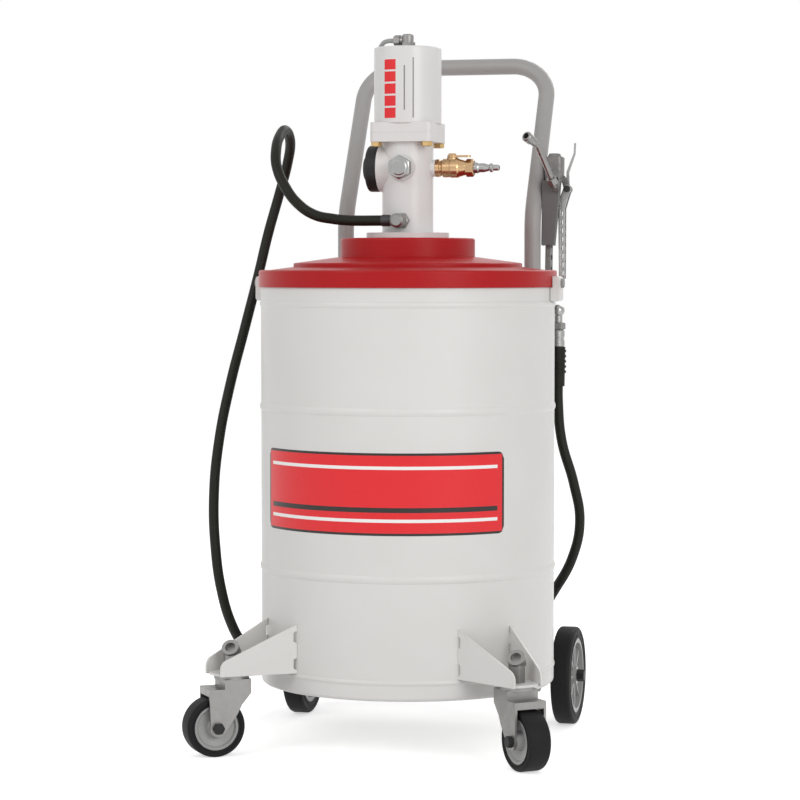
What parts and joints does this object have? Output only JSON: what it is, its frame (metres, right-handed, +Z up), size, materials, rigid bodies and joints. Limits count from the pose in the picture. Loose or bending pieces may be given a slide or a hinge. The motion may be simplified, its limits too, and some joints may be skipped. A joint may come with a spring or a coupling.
{
  "type": "pneumatic grease pump",
  "caption": "Mobile air-driven grease pump on a white drum with a red lid, swivel casters, rear wheels, push handle, hose and control gun.",
  "frame": {"origin": "on the floor, under the middle of the outline without the hose", "axes": "+Z up, -Y towards the front with the casters, +X towards the air inlet and the gun"},
  "size_m": [0.5001, 0.5404, 0.9115],
  "materials": {
    "drum_paint": "semi-gloss white powder coat",
    "lid_paint": "semi-gloss red powder coat",
    "pump_paint": "gloss white enamel on castings",
    "handle_paint": "satin grey powder coat",
    "holder_paint": "satin dark grey powder coat",
    "zinc_plate": "bright zinc plating, satin",
    "bright_steel": "turned and polished steel",
    "yellow_zinc": "yellow passivated zinc",
    "cast_alloy": "die-cast, lightly blasted",
    "brass_body": "turned brass, bright",
    "black_steel": "black oxide",
    "black_plastic": "moulded, matt",
    "wheel_centre": "moulded grey polypropylene, satin",
    "tyre_rubber": "moulded grey-black rubber, matt",
    "hose_rubber": "smooth black hose cover",
    "seal_rubber": "nitrile rubber, matt",
    "signal_hose": "grey polyamide tube"
  },
  "bodies": {
    "chassis": {"drum_body": "drum_paint", "lid_clamps": "drum_paint", "bracket_left": "drum_paint", "bracket_right": "drum_paint", "axle_brackets": "drum_paint", "lid": "lid_paint", "pump_body": "pump_paint", "air_cylinder": "pump_paint", "hex_plug": "pump_paint", "handle_frame": "handle_paint", "handle_standoffs": "handle_paint", "gun_holder": "holder_paint", "clamp_screws": "zinc_plate", "stem_posts": "zinc_plate", "axle_spacers": "zinc_plate", "nozzle_pipe": "zinc_plate", "nozzle_nut": "zinc_plate", "grease_coupler": "zinc_plate", "swivel_nut": "zinc_plate", "tube_elbows": "zinc_plate", "clamp_nut": "zinc_plate", "outlet_elbow": "zinc_plate", "rear_axle": "bright_steel", "gun_swivel": "bright_steel", "gun_ferrule": "bright_steel", "air_nipple": "bright_steel", "pump_tube": "bright_steel", "foot_valve": "bright_steel", "head_bolts": "yellow_zinc", "gun_body": "cast_alloy", "air_valve": "brass_body", "lever_pin": "black_steel", "hose_ferrule": "black_steel", "exhaust_cap": "black_plastic", "axle_nuts": "black_plastic", "grease_hose": "hose_rubber", "hose_guard": "hose_rubber", "lid_gasket": "seal_rubber", "signal_tube": "signal_hose"},
    "caster_left": {"fork_left": "zinc_plate", "king_pin_left": "bright_steel", "caster_axle_left": "black_plastic"},
    "caster_right": {"fork_right": "zinc_plate", "king_pin_right": "bright_steel", "caster_axle_right": "black_plastic"},
    "caster_wheel_left": {"caster_hub_left": "wheel_centre", "caster_tyre_left": "tyre_rubber"},
    "caster_wheel_right": {"caster_hub_right": "wheel_centre", "caster_tyre_right": "tyre_rubber"},
    "rear_wheel_left": {"rear_hub_left": "wheel_centre", "rear_tyre_left": "tyre_rubber"},
    "rear_wheel_right": {"rear_hub_right": "wheel_centre", "rear_tyre_right": "tyre_rubber"},
    "gun_trigger": {"gun_lever": "bright_steel"},
    "inlet_valve": {"valve_lever": "brass_body", "valve_ball": "bright_steel"},
    "pump_piston": {"air_piston": "bright_steel", "piston_seal": "seal_rubber"},
    "follower": {"follower_plate": "seal_rubber"}
  },
  "joints": [
    {"name": "caster_swivel_left", "type": "hinge", "parent": "chassis", "child": "caster_left", "pos_m": [-0.18243, -0.21562, 0.1], "axis": [0, 0, 1], "continuous": true},
    {"name": "caster_spin_left", "type": "hinge", "parent": "caster_left", "child": "caster_wheel_left", "pos_m": [-0.20209, -0.22938, 0.0375], "axis": [0.5736, -0.8192, 0], "continuous": true},
    {"name": "rear_spin_left", "type": "hinge", "parent": "chassis", "child": "rear_wheel_left", "pos_m": [-0.185, 0.11582, 0.065], "axis": [1, 0, 0], "continuous": true},
    {"name": "caster_swivel_right", "type": "hinge", "parent": "chassis", "child": "caster_right", "pos_m": [0.18243, -0.21562, 0.1], "axis": [0, 0, 1], "continuous": true},
    {"name": "caster_spin_right", "type": "hinge", "parent": "caster_right", "child": "caster_wheel_right", "pos_m": [0.19818, -0.23373, 0.0375], "axis": [0.7547, 0.6561, 0], "continuous": true},
    {"name": "rear_spin_right", "type": "hinge", "parent": "chassis", "child": "rear_wheel_right", "pos_m": [0.185, 0.11582, 0.065], "axis": [1, 0, 0], "continuous": true},
    {"name": "trigger_squeeze", "type": "hinge", "parent": "chassis", "child": "gun_trigger", "pos_m": [0.172, 0.16928, 0.71663], "axis": [0, 0.9976, -0.0698], "range_deg": [0, 4.9], "stiffness_Nm_per_rad": 2, "springref_deg": -5.73},
    {"name": "valve_turn", "type": "hinge", "parent": "chassis", "child": "inlet_valve", "pos_m": [0.059, -0.03318, 0.739], "axis": [0, 0, 1], "range_deg": [0, 90]},
    {"name": "piston_stroke", "type": "slide", "parent": "chassis", "child": "pump_piston", "axis": [0, 0, 1], "range_m": [0, 0.08]},
    {"name": "follower_slide", "type": "slide", "parent": "chassis", "child": "follower", "axis": [0, 0, 1], "range_m": [0, 0.42]}
  ]
}
